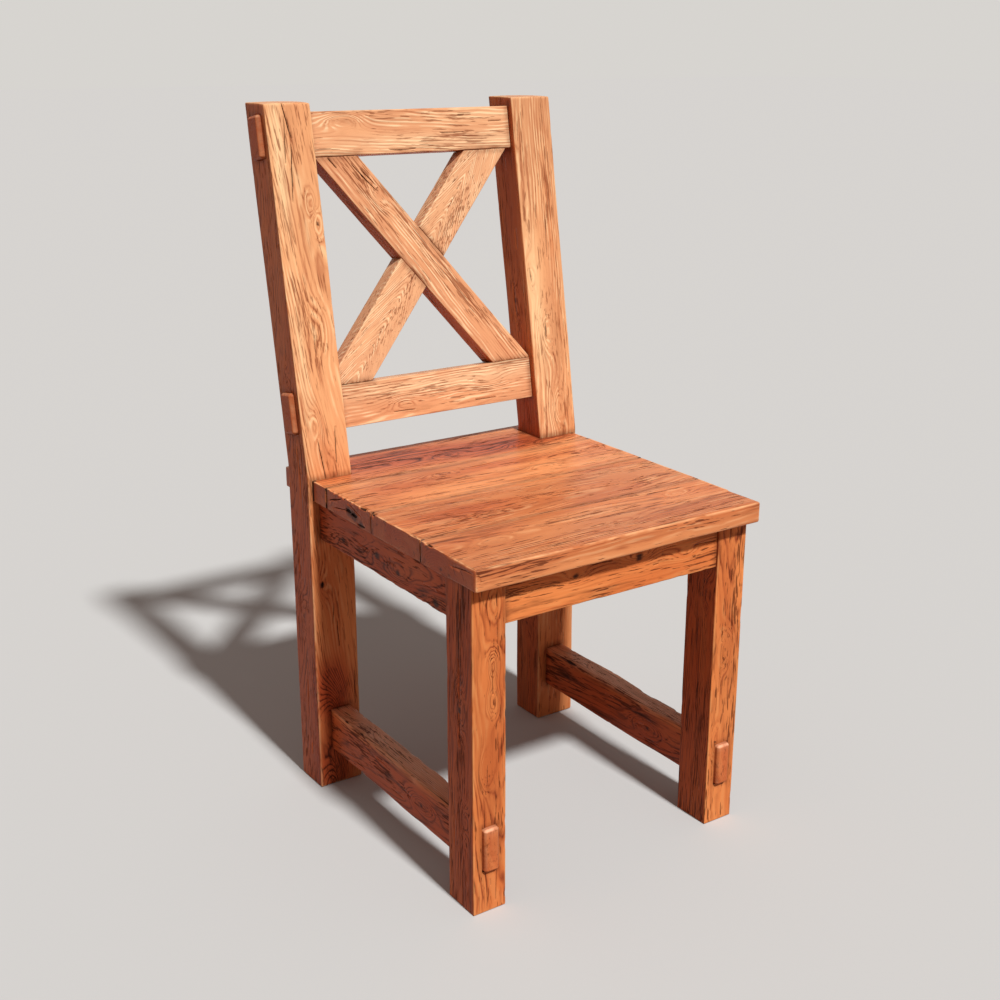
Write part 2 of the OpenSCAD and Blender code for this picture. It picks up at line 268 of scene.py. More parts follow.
def closed_object(name, axes, points, faces):
    """A new object from a closed shape that is given in a timber's own axes."""
    mesh = bpy.data.meshes.new(name)
    corners = [tuple(point) for point in axes.world(points)]
    mesh.from_pydata(corners, [], [tuple(int(i) for i in face) for face in faces])
    mesh.validate()
    fix_outside(mesh)
    return new_object(name, mesh)


def fix_outside(mesh):
    """Makes every face look outwards."""
    bm = bmesh.new()
    bm.from_mesh(mesh)
    bmesh.ops.recalc_face_normals(bm, faces=bm.faces)
    if bm.calc_volume(signed=True) < 0:
        bmesh.ops.reverse_faces(bm, faces=bm.faces)
    bm.to_mesh(mesh)
    bm.free()


def combine(piece, other, operation):
    """Unites, cuts or clips piece with other, which is then thrown away."""
    step = piece.modifiers.new("combine", "BOOLEAN")
    step.operation = operation
    step.solver = "MANIFOLD"
    step.object = other
    bpy.context.view_layer.update()
    shaped = piece.evaluated_get(bpy.context.evaluated_depsgraph_get())
    mesh = bpy.data.meshes.new_from_object(shaped)
    piece.modifiers.clear()
    old = piece.data
    piece.data = mesh
    bpy.data.meshes.remove(old)
    mesh.name = piece.name
    bpy.data.objects.remove(other)


def clip_to_cad(piece, node):
    """Gives the piece its CAD node's mortises, laps, notches and hidden tenons."""
    bm = cad_mesh(node)
    mesh = bpy.data.meshes.new("cad")
    bm.to_mesh(mesh)
    bm.free()
    fix_outside(mesh)
    combine(piece, new_object("cad", mesh), "INTERSECT")


# ---- Damage ----

FACES = {"-u": (0, 0), "+u": (0, 1), "-v": (1, 0), "+v": (1, 1), "-w": (2, 0), "+w": (2, 1)}


def on_face(face, low, high):
    """Origin and three directions of a face of a block: along, across and outwards."""
    axis, end = FACES[face]
    out = np.zeros(3)
    out[axis] = 1 if end else -1
    along = np.array([1.0, 0, 0]) if axis else np.array([0, 1.0, 0])
    across = np.cross(out, along)
    origin = np.array(low, float)
    origin[axis] = high[axis] if end else low[axis]
    return origin, along, across, out


def crack_points(low, high, seed, face, start, length, across, width, depth, lean=0.0):
    """A drying check: a wandering blade, open at the face and sharp at its foot, in mm.
    start runs along the face's grain, across runs over it, both from the block's low corner,
    and lean is how far it drifts across from one end to the other. Comes with its faces."""
    origin, along, side, out = on_face(face, low, high)
    side = np.abs(side)
    count = max(8, round(length / 3))
    t = np.linspace(0, 1, count)
    s = start + t * length
    rows = np.stack([s * 0.045, np.full(count, 0.5), np.full(count, 0.5)], axis=1)
    fast = rows * (6, 1, 1)
    wander = 1.6 * noise(rows, seed) + 0.35 * noise(fast, seed + 1) + lean * (t - 0.5)
    swell = np.sqrt(np.clip(4 * t * (1 - t), 0, 1)) * (0.75 + 0.25 * noise(fast, seed + 2)) + 0.02
    base = origin + np.outer(s * MM, along) + np.outer((across + wander) * MM, side)
    proud = 1.0
    open_up = 1 + proud / depth
    half = width / 2 * swell * open_up
    left = base + np.outer(-half * MM, side) + out * proud * MM
    right = base + np.outer(half * MM, side) + out * proud * MM
    foot = base - np.outer(depth * swell * MM, out)
    return np.concatenate([left, right, foot]), crack_faces(count)


def crack_faces(count):
    faces = []
    for i in range(count - 1):
        a, b, c = i, i + count, i + 2 * count
        faces += [(a, a + 1, b + 1, b), (b, b + 1, c + 1, c), (c, c + 1, a + 1, a)]
    last = count - 1
    return faces + [(0, count, 2 * count), (last, last + 2 * count, last + count)]


def lump(centre, sizes, seed):
    """An uneven stone-like body, for hollows and chips, in local axes. Sizes are in mm."""
    bm = bmesh.new()
    bmesh.ops.create_icosphere(bm, subdivisions=3, radius=1.0)
    points = np.array([v.co for v in bm.verts])
    faces = [[v.index for v in f.verts] for f in bm.faces]
    bm.free()
    bump = LUMP_BUMPS * noise(points * 1.7 + 5, seed)
    bump = 1 + bump + 0.4 * LUMP_BUMPS * noise(points * 4.1, seed + 1)
    points = points * bump[:, None] * np.array(sizes) * MM + np.array(centre)
    return points, faces


def cut_all(piece, axes, shapes):
    """Cuts every (points, faces) shape, given in local axes, out of the piece."""
    for shape in shapes:
        combine(piece, closed_object("tool", axes, *shape), "DIFFERENCE")


def drop_crumbs(mesh):
    """Takes out the crumbs and the faces of no area that cutting leaves."""
    bm = bmesh.new()
    bm.from_mesh(mesh)
    bmesh.ops.dissolve_degenerate(bm, dist=1e-7, edges=bm.edges)
    seen, crumbs = set(), []
    for start in bm.verts:
        if start in seen:
            continue
        seen.add(start)
        island, queue = [], [start]
        while queue:
            vert = queue.pop()
            island.append(vert)
            near = [edge.other_vert(vert) for edge in vert.link_edges]
            fresh = [other for other in near if other not in seen]
            seen.update(fresh)
            queue += fresh
        if len(island) < CRUMB_VERTICES:
            crumbs += island
    bmesh.ops.delete(bm, geom=crumbs, context="VERTS")
    bm.to_mesh(mesh)
    bm.free()


# ---- What the wood shader reads from each piece ----

# From where to where each of these changes: in mm, but for the first, in metres
PALER = (0.38, 0.56)  # above the floor: the back is more bleached than the seat and legs
# Hollows, cracks and the seat's seams are painted dark as shade; near the next piece the wood is
# painted darker for dirt and shade
DARK_HOLLOW = (1.3, 3.6)  # under the CAD's surface
DARK_CRACK = (0.15, 1.0)  # under the surface as it was before the cracks
DARK_SEAM, DARK_JOINT = (0.5, 1.9), (0.5, 9.0)  # away from the next piece: dark where it is near


def smoothstep(low, high, value):
    t = np.clip((value - low) / (high - low), 0, 1)
    return t * t * (3 - 2 * t)


def write_layer(mesh, name, values):
    kind, field = ("FLOAT", "value") if values.ndim == 1 else ("FLOAT_VECTOR", "vector")
    layer = mesh.attributes.new(name, kind, "POINT")
    layer.data.foreach_set(field, np.ascontiguousarray(values, np.float32).ravel())


def describe_wood(piece, node, axes, low, high, whole, seed, pith, tilt, taper, knots, stains,
                  pale, seam):
    """Stores, at each point, what the wood's material needs to know about it."""
    mesh = piece.data
    co, normals = vertex_values(mesh, "co"), vertex_values(mesh, "normal")
    q = axes.local(co)
    low, high = np.array(low), np.array(high)
    gaps = np.minimum(q - low, high - q)
    past = np.maximum(low[0] - q[:, 0], q[:, 0] - high[0])
    on_tenon = past > 0.5 * MM
    outward = np.where(on_tenon[:, None], normals, side_normals(axes, q, low, high))
    # facing is how far a side looks forwards or up, towards the sun: the material paints light on
    # such faces and shade on the others
    facing = np.clip(np.maximum(-outward[:, 1], outward[:, 2]), 0, 1)
    height = smoothstep(*PALER, co[:, 2])
    joint = distances(neighbours(node), co)
    push, dark = knot_push(q, low, knots)
    # Painted shade in the seam between seat boards, near their ends
    groove = (1 - smoothstep(*DARK_SEAM, joint)) * (1 - smoothstep(3 * MM, 7 * MM, gaps[:, 0]))

    rub_and_highlight = rubbed_and_highlit(normals, axes, gaps, past, joint, facing)
    layers = {
        "grain": tree_place(q, low, high, pith, tilt, seed),
        "bulge": taper * (q[:, 0] - low[0]) + push * MM,
        # Real bleach and stains, with painted light on the faces that look forwards or up and
        # painted shade on the other sides
        "bleach": tint(q, low, facing, height, on_tenon, stains, pale),
        "knot": np.clip(dark, 0, 1),
        # Painted shade down in hollows, cracks and the seat's seam grooves
        "deep": np.maximum(depth_in(node, whole, co), seam * groove),
        # Dirt and painted shade near the next piece
        "joint": 1 - smoothstep(*DARK_JOINT, joint),
        "end": end_grain(normals, axes, past),
        # Wear on the arrises, with a painted highlight where they face the sun
        "arris_wear_and_highlight": rub_and_highlight * np.where(on_tenon, 1 - 0.7 * height, 1.0),
    }
    for name, values in layers.items():
        write_layer(mesh, name, values)


def tree_place(q, low, high, pith, tilt, seed):
    """Where each point lay in the tree: along the grain, and across it from the pith."""
    grain = q - (low + high) / 2 - np.array([0, *pith]) * MM
    grain[:, 1:] += grain[:, :1] * np.array(tilt)
    grain[:, 0] += 3.7 * seed
    return grain


def knot_push(q, low, knots):
    """How far, in mm, knots push the rings aside at each point, and how dark their cores are."""
    push, dark = np.zeros(len(q)), np.zeros(len(q))
    for place, amount, size, core in knots:
        d = (q - low - np.array(place) * MM) / MM
        push += amount * np.exp(-((d / (2.6 * size, size, size)) ** 2).sum(axis=1))
        dark += np.exp(-((d / (1.5 * core, core, core)) ** 2).sum(axis=1))
    return push, dark


def tint(q, low, facing, height, on_tenon, stains, pale):
    """Above 0 where the wood is bleached, most on the faces that look forwards or up, towards the
    sun, which is painted light. Below it where it is redder and darker: on the sides that look
    neither forwards nor up, which is painted shade, and in the dark stains."""
    # Paler with height, as bleach, and more so on the faces that look forwards or up, as painted
    # light; redder and darker on the other sides, as painted shade
    bleach = np.where(on_tenon, -0.5 * height, height * (0.25 + 0.75 * facing) * pale)
    bleach -= np.where(on_tenon, 0.25, 0.75) * (1 - smoothstep(0.1, 0.6, facing))
    for place, reach, amount in stains:
        d = (q - low - np.array(place) * MM) / (np.array(reach) * MM)
        bleach += amount * np.exp(-(d ** 2).sum(axis=1))
    return bleach


def depth_in(node, whole, co):
    """0 at the surface to 1 down in a hollow or, sooner, in a crack."""
    hollow = smoothstep(*DARK_HOLLOW, distances(search_tree(cad_mesh(node)), co))
    return np.maximum(hollow, smoothstep(*DARK_CRACK, distances(whole, co)))


def end_grain(normals, axes, past):
    """1 on the ends and on proud tenons, 0 along the timber."""
    end = smoothstep(0.5, 0.85, np.abs(normals @ axes.turn[0]))
    end = np.maximum(end, 1 - smoothstep(0.4 * MM, 1.5 * MM, np.abs(past)))
    return np.maximum(end, smoothstep(0.5 * MM, 1.5 * MM, past))


def rubbed_and_highlit(normals, axes, gaps, past, joint, facing):
    """How near a rubbed arris each point is, with a painted highlight on the arrises of faces that
    look forwards or up, and a tenon's upper slope that looks towards the sun, as wear and painted
    highlight.
    """
    second = np.sort(gaps, axis=1)[:, 1]
    near = (1 - smoothstep(0.4 * MM, 3.5 * MM, second)) * smoothstep(0.8, 3.0, joint)
    # Arrises of faces that look forwards or up get more of it: a painted highlight
    near *= 0.2 + 0.8 * smoothstep(0.0, 0.6, facing)
    slope = 1 - np.abs(normals @ axes.turn.T).max(axis=1)
    # Painted highlight: slopes that look up and forwards, towards the sun
    lit = smoothstep(0.3, 0.8, 0.8 * normals[:, 2] - 0.6 * normals[:, 1])
    on_slope = 1.8 * lit * smoothstep(0.04, 0.16, slope) * smoothstep(1.0, 2.5, past / MM)
    return np.maximum(near, on_slope)


def side_normals(axes, q, low, high):
    """Which way the sawn block's nearest side looks, at each point: cracks don't change it."""
    total = np.zeros_like(q)
    for axis in range(3):
        for gap, way in ((q[:, axis] - low[axis], -1), (high[axis] - q[:, axis], 1)):
            weight = 1 / (np.maximum(gap, 0) + 0.3 * MM) ** 2
            total += np.outer(weight * way, axes.turn[axis])
    return total / np.maximum(np.linalg.norm(total, axis=1, keepdims=True), 1e-9)


def distances(tree, points):
    """How far each point is from a surface, in mm."""
    return np.array([tree.find_nearest(Vector(p))[3] for p in points]) / MM


def search_tree(bm):
    """A search tree over a bmesh, which is used up."""
    tree = BVHTree.FromBMesh(bm)
    bm.free()
    return tree


def mesh_tree(*meshes):
    """A search tree over meshes, such as a piece before its cracks are cut."""
    bm = bmesh.new()
    for mesh in meshes:
        bm.from_mesh(mesh)
    return search_tree(bm)


def neighbours(node):
    """A search tree over all the CAD pieces but this one."""
    return mesh_tree(*(other.data for name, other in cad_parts.items() if name != node))


# ---- Materials ----

class Nodes:
    """A short way to write a material's nodes."""

    def __init__(self, tree):
        self.tree = tree

    def add(self, kind, inputs=None, **settings):
        node = self.tree.nodes.new(kind)
        for key, value in settings.items():
            setattr(node, key, value)
        for key, value in (inputs or {}).items():
            self.link(value, node.inputs[key])
        return node

    def link(self, value, socket):
        if isinstance(value, bpy.types.NodeSocket):
            self.tree.links.new(value, socket)
        else:
            socket.default_value = value

    def math(self, operation, a, b=0.0, clamp=False):
        node = self.add("ShaderNodeMath", {0: a, 1: b}, operation=operation, use_clamp=clamp)
        return node.outputs[0]

    def plus(self, a, b, clamp=False):
        return self.math("ADD", a, b, clamp=clamp)

    def minus(self, a, b):
        return self.math("SUBTRACT", a, b)

    def times(self, a, b, clamp=False):
        return self.math("MULTIPLY", a, b, clamp=clamp)

    def vector(self, operation, a, b=(0, 0, 0)):
        return self.add("ShaderNodeVectorMath", {0: a, 1: b}, operation=operation).outputs[0]

    def noise(self, place, scale, detail=2.0, rough=0.5, lift=(0, 0, 0), **settings):
        where = self.vector("MULTIPLY", self.vector("ADD", place, lift), scale)
        return self.add("ShaderNodeTexNoise", {"Vector": where, "Scale": 1.0, "Detail": detail,
                                               "Roughness": rough}, **settings)

    def ramp(self, value, points, smooth=True):
        node = self.add("ShaderNodeValToRGB", {0: value})
        node.color_ramp.interpolation = "EASE" if smooth else "LINEAR"
        elements = node.color_ramp.elements
        while len(elements) < len(points):
            elements.new(0.5)
        for element, (place, shade) in zip(elements, points):
            element.position = place
            element.color = (*shade, 1) if isinstance(shade, tuple) else (shade, shade, shade, 1)
        return node.outputs[0]

    def mix(self, factor, a, b):
        node = self.add("ShaderNodeMix", data_type="RGBA")
        for place, value in ((0, factor), (6, a), (7, b)):
            self.link(value, node.inputs[place])
        return node.outputs[2]


def paint(red, green, blue):
    """A colour given as it looks on screen, from 0 to 255, as the shader's linear colour."""
    def linear(v):
        v /= 255
        return v / 12.92 if v <= 0.04045 else ((v + 0.055) / 1.055) ** 2.4
    return linear(red), linear(green), linear(blue), 1.0


def new_material(name):
    """A new material, and its shader."""
    material = bpy.data.materials.new(name)
    material.use_nodes = True
    return material, material.node_tree.nodes["Principled BSDF"]


class WoodNodes(Nodes):
    """Nodes that know where each point lay in the tree, and what its piece's layers say of it."""

    def __init__(self, tree, ring_gap):
        super().__init__(tree)
        self.grain = self.layer("grain", "Vector")
        place = self.warp(self.grain, (2.2, 9, 9), 0.020)
        place = self.warp(place, (11, 34, 34), 0.0045)
        place = self.warp(place, (48, 150, 150), 0.0010)
        _, v, w = self.add("ShaderNodeSeparateXYZ", {0: place}).outputs
        self.radius = self.math("SQRT", self.plus(self.times(v, v), self.times(w, w)))
        self.radius = self.plus(self.radius, self.layer("bulge"))
        season = self.flow((1.5, 6, 6), 90, 1.0)
        phase = self.plus(self.math("DIVIDE", self.radius, ring_gap * MM), self.times(season, 1.6))
        self.ring_at = self.math("FRACT", phase)
        # The bleach layer holds real bleach and stains, with painted light on faces that look
        # forwards or up; shade is the painted shade on the other sides, and the dark stains
        self.bleach, self.end = self.layer("bleach"), self.layer("end")
        self.shade = self.times(self.bleach, -1.0, clamp=True)
        self.not_end = self.minus(1.0, self.times(self.end, 0.75))
        self.blot = self.spots((110, 160, 160), 3.0)

    def layer(self, name, output="Fac"):
        return self.add("ShaderNodeAttribute", attribute_name=name).outputs[output]

    def warp(self, place, scale, amount):
        """Moves place sideways, across the grain, by noise."""
        push = self.noise(self.grain, scale, 1.0).outputs["Color"]
        push = self.vector("SUBTRACT", push, (0.5, 0.5, 0.5))
        return self.vector("ADD", place, self.vector("MULTIPLY", push, (0, amount, amount)))

    def spots(self, scale, detail=2.0, lift=(0, 0, 0)):
        """Noise in soft spots, drawn out along the grain."""
        return self.noise(self.grain, scale, detail, lift=lift).outputs["Fac"]

    def flow(self, scale, across, detail=2.0, rough=0.5, lift=(0, 0, 0)):
        """Noise that runs along the growth rings: slow along them, quick across them."""
        made = self.noise(self.grain, scale, detail, rough, lift, noise_dimensions="4D")
        self.link(self.times(self.radius, across), made.inputs["W"])
        return made.outputs["Fac"]

    def calm(self):
        """Low where the rings and dark fibres are faint, but never in a stain, nor on the sides
        with painted shade.
        """
        faint = self.ramp(self.spots((5, 26, 26), lift=(3, 3, 0)), [(0.40, 0.30), (0.60, 1.0)])
        return self.math("MAXIMUM", faint, self.shade)

    def late_wood(self, calm):
        """A thin dark line on each ring. Only in stains is every line strong and unbroken."""
        late = self.ramp(self.ring_at, [(0.0, 0.25), (0.12, 0.0), (0.62, 0.12), (0.86, 1.0),
                                        (1.0, 0.3)], smooth=False)
        broken = self.flow((20, 60, 60), 150, lift=(2, 0, 0))
        broken = self.ramp(broken, [(0.38, 0.10), (0.58, 1.0)])
        whole = self.times(self.minus(self.shade, 0.78), 5.0, clamp=True)
        late = self.times(late, self.math("MAXIMUM", broken, whole))
        return self.times(self.times(late, calm), self.not_end)

    def raised(self, pale_amount):
        """Pale grain that stands up between the rings, but for some bare patches. It shows most
        where the wood is bleached and, as painted light, on the faces that look forwards or up.
        """
        bands = self.ramp(self.spots((6, 40, 40), lift=(5, 1, 0)), [(0.40, 0.0), (0.50, 1.0)])
        early = self.ramp(self.ring_at, [(0.04, 0.0), (0.22, 1.0), (0.44, 0.85), (0.62, 0.0)],
                          smooth=False)
        lift = self.times(self.times(bands, early), pale_amount)
        # Stronger where bleached, and as painted light on the faces that look forwards or up
        lift = self.times(lift, self.plus(0.35, self.times(self.bleach, 0.65)), clamp=True)
        worn = self.ramp(self.flow((22, 90, 90), 220, lift=(7, 0, 0)), [(0.42, 0.05), (0.60, 1.0)])
        return self.times(self.times(lift, self.not_end), worn)

    def pores(self, late):
        """Short dark pores that follow the rings, in swarms."""
        swarm = self.spots((6, 42, 42), lift=(0, 7, 0))
        pores = self.flow((30, 420, 420), 420, 2.0, 0.6, lift=(1, 0, 4))
        pores = self.plus(pores, self.times(self.minus(swarm, 0.5), 0.5))
        # More pores on the sides with painted shade, and in the dark stains
        pores = self.plus(pores, self.times(self.shade, 0.03))
        pores = self.plus(pores, self.times(late, 0.07))
        return self.times(self.ramp(pores, [(0.60, 0.0), (0.665, 1.0)]), self.not_end)

    def ground(self, light, warm, ring, pale, bleached):
        """The wood's plain colour, before its rings and pores: paler where bleached and, as painted
        light, on the faces that look forwards or up; redder as painted shade on the other sides,
        and in the dark stains.
        """
        tone = self.ramp(self.flow((2.5, 7, 7), 70, lift=(0, 3, 0)), [(0.36, 0.0), (0.66, 1.0)])
        blotch = self.ramp(self.spots((2.6, 13, 13), lift=(0, 0, 6)), [(0.40, 0.0), (0.70, 0.45)])
        colour = self.mix(blotch, self.mix(tone, light, warm), ring)
        colour = self.mix(self.times(self.bleach, bleached, clamp=True), colour, pale)
        # Painted shade: redder on the sides, and in the dark stains
        return self.mix(self.times(self.shade, 0.80), colour, paint(188, 78, 45))

    def damage(self, colour, pale, rub_and_highlight_amount, deep):
        """Knots, end grain, dirt and painted shade near the joints, rubbed arrises with a painted
        highlight, and painted shade down in cracks, hollows and seams.
        """
        knot = self.times(self.layer("knot"), self.plus(0.5, self.blot), clamp=True)
        colour = self.mix(self.ramp(knot, [(0.18, 0.0), (0.75, 0.92)]), colour, paint(56, 22, 13))
        colour = self.mix(self.times(self.end, 0.15), colour, paint(150, 74, 42))
        # Dirt and painted shade near the next piece
        dirt_and_painted_shade = self.times(self.layer("joint"), self.plus(0.15, self.blot), clamp=True)
        colour = self.mix(self.times(dirt_and_painted_shade, 0.6), colour, paint(88, 42, 26))
        # Wear on the arrises, with a painted highlight
        rubbed_and_highlit = self.ramp(self.spots((30, 60, 60)), [(0.35, 0.0), (0.60, rub_and_highlight_amount)])
        colour = self.mix(self.times(self.layer("arris_wear_and_highlight"), rubbed_and_highlit), colour, pale)
        # Painted shade down in cracks, hollows and seams
        return self.mix(deep, colour, paint(34, 14, 9))


def wood(name, light, warm, ring, pale, mark, pale_amount=0.5, streaks=0.5, ring_gap=3.0, lines=0.7,
         marks=0.8, bleached=0.0, rub_and_highlight_amount=0.5, roughness=0.42, gloss=0.12):
    """Oiled wood with growth rings, raised grain, pores, dark streaks, knots and worn arrises, with
    painted light and shade by which way a face looks.
    """
    material, shader = new_material("worn_" + name)
    n = WoodNodes(material.node_tree, ring_gap)
    shade, calm = n.shade, n.calm()
    late, lift = n.late_wood(calm), n.raised(pale_amount)
    pores = n.pores(late)
    fibre = n.flow((11, 260, 260), 420, 4.0, 0.62)
    dark_fibre = n.times(n.times(n.ramp(fibre, [(0.30, 0.65), (0.50, 0.0)]), n.not_end), calm)
    streak = n.ramp(n.flow((7, 80, 80), 130, 4.0, 0.62, lift=(9, 0, 2)), [(0.54, 0.0), (0.72, 1.0)])
    deep = n.ramp(n.layer("deep"), [(0.04, 0.0), (0.38, 0.94)])

    # The ground, then its ring lines, dark fibres, raised grain, streaks and pores, in turn
    # On the sides with painted shade, and in the dark stains, the lines, streaks and pores are
    # darker and stronger
    line = n.mix(shade, ring, paint(74, 25, 14))
    lines = n.plus(lines, n.times(shade, 0.4), clamp=True)
    streaks = n.plus(streaks, n.times(shade, 0.3), clamp=True)
    colour = n.ground(light, warm, ring, pale, bleached)
    colour = n.mix(n.times(late, lines), colour, line)
    colour = n.mix(dark_fibre, colour, line)
    colour = n.mix(lift, colour, pale)
    colour = n.mix(n.times(streak, streaks), colour, n.mix(shade, mark, paint(84, 34, 20)))
    colour = n.mix(n.times(pores, marks), colour, n.mix(shade, mark, paint(60, 24, 14)))
    n.link(n.damage(colour, pale, rub_and_highlight_amount, deep), shader.inputs["Base Color"])

    # Relief: pale early wood stands up, dark lines and pores are sunk
    height = n.plus(n.times(lift, 0.6), n.times(fibre, 0.45))
    height = n.minus(height, n.times(late, 0.5))
    height = n.minus(height, n.times(pores, 0.9))
    height = n.minus(height, n.times(streak, 0.4))
    bump = n.add("ShaderNodeBump", {"Height": height, "Strength": 0.6, "Distance": 0.6 * MM})
    n.link(bump.outputs[0], shader.inputs["Normal"])
    rough = n.plus(roughness, n.times(pores, 0.25))
    rough = n.plus(rough, n.times(n.minus(fibre, 0.5), 0.18))
    n.link(n.plus(rough, n.times(deep, 0.3), clamp=True), shader.inputs["Roughness"])
    shader.inputs["IOR"].default_value = 1.45
    shader.inputs["Specular IOR Level"].default_value = gloss
    return material


def steel(name):
    """Dull zinc-plated screw heads, with a fine mottle."""
    material, shader = new_material("worn_" + name)
    n = Nodes(material.node_tree)
    where = n.add("ShaderNodeTexCoord").outputs["Object"]
    mottle = n.noise(where, (900, 900, 900), 3.0).outputs["Fac"]
    n.link(n.ramp(mottle, [(0.3, (0.30, 0.30, 0.31)), (0.7, (0.46, 0.46, 0.47))]),
           shader.inputs["Base Color"])
    n.link(n.plus(0.25, n.times(mottle, 0.3)), shader.inputs["Roughness"])
    shader.inputs["Metallic"].default_value = 1.0
    return material


POST = wood("post_wood", paint(230, 149, 94), paint(216, 127, 75), paint(156, 72, 40),
            paint(252, 210, 160), paint(128, 60, 28), pale_amount=0.7, streaks=0.25, ring_gap=2.8,
            lines=0.6, marks=0.62, bleached=0.36)
BACK = wood("back_wood", paint(228, 148, 96), paint(214, 126, 76), paint(158, 76, 44),
            paint(250, 214, 170), paint(128, 60, 28), pale_amount=1.0, streaks=0.25, ring_gap=2.6,
            lines=0.6, marks=0.65, bleached=0.34)
LEG = wood("leg_wood", paint(243, 151, 87), paint(226, 127, 69), paint(140, 58, 31),
           paint(244, 180, 116), paint(92, 40, 20), pale_amount=0.6, streaks=0.55, ring_gap=2.6,
           lines=0.9)
SEAT = wood("seat_wood", paint(240, 159, 104), paint(220, 130, 78), paint(152, 69, 38),
            paint(250, 194, 142), paint(98, 43, 22), pale_amount=0.8, streaks=0.65, ring_gap=3.0,
            rub_and_highlight_amount=0.85, roughness=0.36, gloss=0.17)
FRAME = wood("frame_wood", paint(232, 140, 84), paint(212, 114, 66), paint(128, 56, 32),
             paint(240, 180, 144), paint(84, 36, 20), pale_amount=0.8, streaks=0.75, ring_gap=2.6,
             lines=0.85, bleached=0.35)
SCREW = steel("screw_steel")


# ---- The timbers ----

def extent(node, axes):
    q = axes.local(cad_points(node))
    return q.min(axis=0), q.max(axis=0)


def timber(node, material, axes, seed, low=None, high=None, tenons=(), pith=(0, 40), tilt=(0, 0),
           taper=0.0, knots=(), cracks=(), lumps=(), stains=(), pale=1.0, seam=0.0, **options):
    """One worn piece of wood that stands for its CAD node, with its joints and its damage."""
    full_low, full_high = extent(node, axes)
    low = full_low if low is None else low
    high = full_high if high is None else high
    piece = closed_object(node + "_worn", axes, *worn_block(low, high, seed, **options))
    clip_to_cad(piece, node)
    for corners in tenons:
        block = worn_block(*corners, seed + 50, round_mm=3.2, bevel=True, wear=0.12)
        combine(piece, closed_object("tenon", axes, *block), "UNION")
    places = [np.array(low) + np.array(centre) * MM for centre, _ in lumps]
    cut_all(piece, axes, [lump(place, sizes, seed + 300 + number)
                          for number, (place, (_, sizes)) in enumerate(zip(places, lumps))])
    whole = mesh_tree(piece.data)
    cut_all(piece, axes, [crack_points(low, high, seed + 100 + number, *crack)
                          for number, crack in enumerate(cracks)])
    drop_crumbs(piece.data)
    describe_wood(piece, node, axes, low, high, whole, seed, pith, tilt, taper, knots, stains,
                  pale, seam)
    tidy_surface(piece, material)
    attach(piece, "root")
    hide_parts(node)


def tidy_surface(piece, material):
    """Smooth faces with crisp joints, and one material."""
    mesh = piece.data
    mesh.materials.clear()
    mesh.materials.append(material)
    mesh.shade_smooth()
    mesh.set_sharp_from_angle(angle=math.radians(SHARP_DEGREES))


def scattered(face, low, high, count, seed):
    """Small drying checks spread over a face, as rows for crack_points."""
    axis = FACES[face][0]
    run = (high[0] - low[0]) / MM if axis else (high[1] - low[1]) / MM
    wide_axis = {1: 2, 2: 1, 0: 2}[axis]
    wide = (high[wide_axis] - low[wide_axis]) / MM
    found = []
    for i in range(count):
        a, b, c = (float(hashed(np.int64(i), np.int64(j), np.int64(7), seed)) for j in range(3))
        length = SHORTEST_CHECK + (LONGEST_CHECK - SHORTEST_CHECK) * c * c
        found.append((face, 4 + a * (run - 8 - length), length, 3 + b * (wide - 6),
                      0.5 + 0.9 * c, 1.6 + 2.6 * c))
    return found


def small_checks(low, high, seed, counts):
    """So many small drying checks on each of the faces named in counts."""
    found = []
    for face, count in counts.items():
        axis, end = FACES[face]
        found += scattered(face, low, high, count, seed + axis * 7 + end)
    return found


